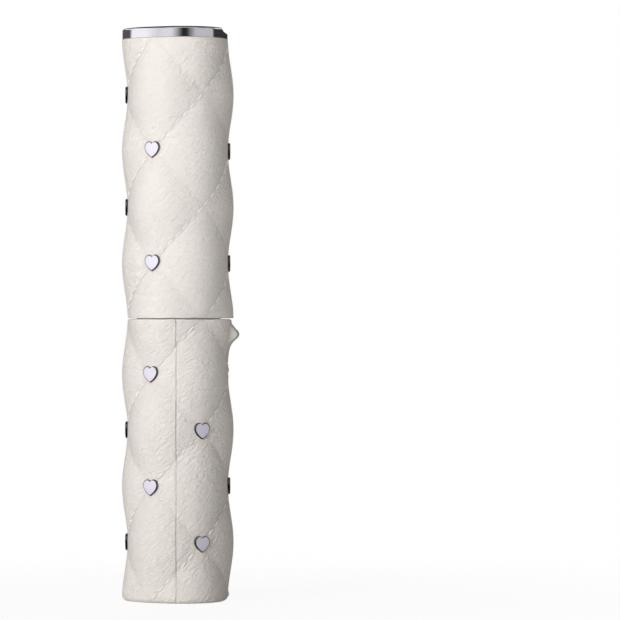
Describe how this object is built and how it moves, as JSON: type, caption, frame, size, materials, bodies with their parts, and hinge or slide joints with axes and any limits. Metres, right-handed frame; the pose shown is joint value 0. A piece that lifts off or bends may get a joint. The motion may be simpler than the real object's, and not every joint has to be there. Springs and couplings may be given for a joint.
{
  "type": "hair straightening comb",
  "caption": "Cordless hair straightening comb: round quilted handle with thumb slide, heated comb with stacked fins, and a quilted pull-off cap with a flat bright end.",
  "frame": {"origin": "middle of the flat lower end of the handle, on the handle's axis", "axes": "+Z along the handle to the comb and the cap's end, +X to the thumb slide and the comb's short spikes, -Y to the side that faces the viewer in the picture"},
  "size_m": [0.039, 0.0358, 0.19],
  "materials": {
    "quilted_ivory": "fine leather grain",
    "smooth_ivory": "satin",
    "chrome": "polished",
    "black_resin": "semi-gloss",
    "heat_coat": "smooth dark coat",
    "brass": "bright",
    "nickel": "satin",
    "board_green": "satin",
    "cell_wrap": "satin wrap",
    "tray_grey": "matte",
    "ceramic": "matte",
    "red_wire": "satin",
    "dark_wire": "satin"
  },
  "bodies": {
    "handle": {"handle_shell_right": "quilted_ivory", "handle_shell_left": "quilted_ivory", "handle_base_plate": "smooth_ivory", "charge_port": "nickel", "battery_cell": "cell_wrap", "battery_tab_bottom": "nickel", "battery_tab_top": "nickel", "battery_tray": "tray_grey", "board_screw_upper": "nickel", "board_screw_lower": "nickel", "circuit_board": "board_green", "slide_switch": "tray_grey", "collar": "smooth_ivory", "latch_spring_front": "brass", "latch_spring_back": "brass", "foot_screw_front": "nickel", "foot_screw_back": "nickel", "comb_foot": "black_resin", "comb_body": "black_resin", "comb_end_cap": "black_resin", "heat_plate": "heat_coat", "heater_element": "ceramic", "temperature_sensor": "nickel", "heater_clip": "nickel", "heater_lead_live": "red_wire", "heater_lead_return": "dark_wire", "handle_stud_01": "chrome", "handle_stud_02": "chrome", "handle_stud_03": "chrome", "handle_stud_04": "chrome", "handle_stud_05": "chrome", "handle_stud_06": "chrome", "handle_stud_07": "chrome", "handle_stud_08": "chrome", "handle_stud_09": "chrome", "handle_stud_10": "chrome", "handle_stud_11": "chrome"},
    "thumb_switch": {"thumb_slide": "smooth_ivory", "switch_lever": "black_resin"},
    "cap": {"cap_shell": "quilted_ivory", "cap_top_cover": "chrome", "cap_inner_plug": "smooth_ivory", "cap_stud_01": "chrome", "cap_stud_02": "chrome", "cap_stud_03": "chrome", "cap_stud_04": "chrome", "cap_stud_05": "chrome", "cap_stud_06": "chrome", "cap_stud_07": "chrome", "cap_stud_08": "chrome", "cap_stud_09": "chrome", "cap_stud_10": "chrome"}
  },
  "joints": [
    {"name": "cap_slide", "type": "slide", "parent": "handle", "child": "cap", "axis": [0, 0, 1], "range_m": [0, 0.098]},
    {"name": "switch_slide", "type": "slide", "parent": "handle", "child": "thumb_switch", "axis": [0, 0, 1], "range_m": [0, 0.0019]}
  ]
}
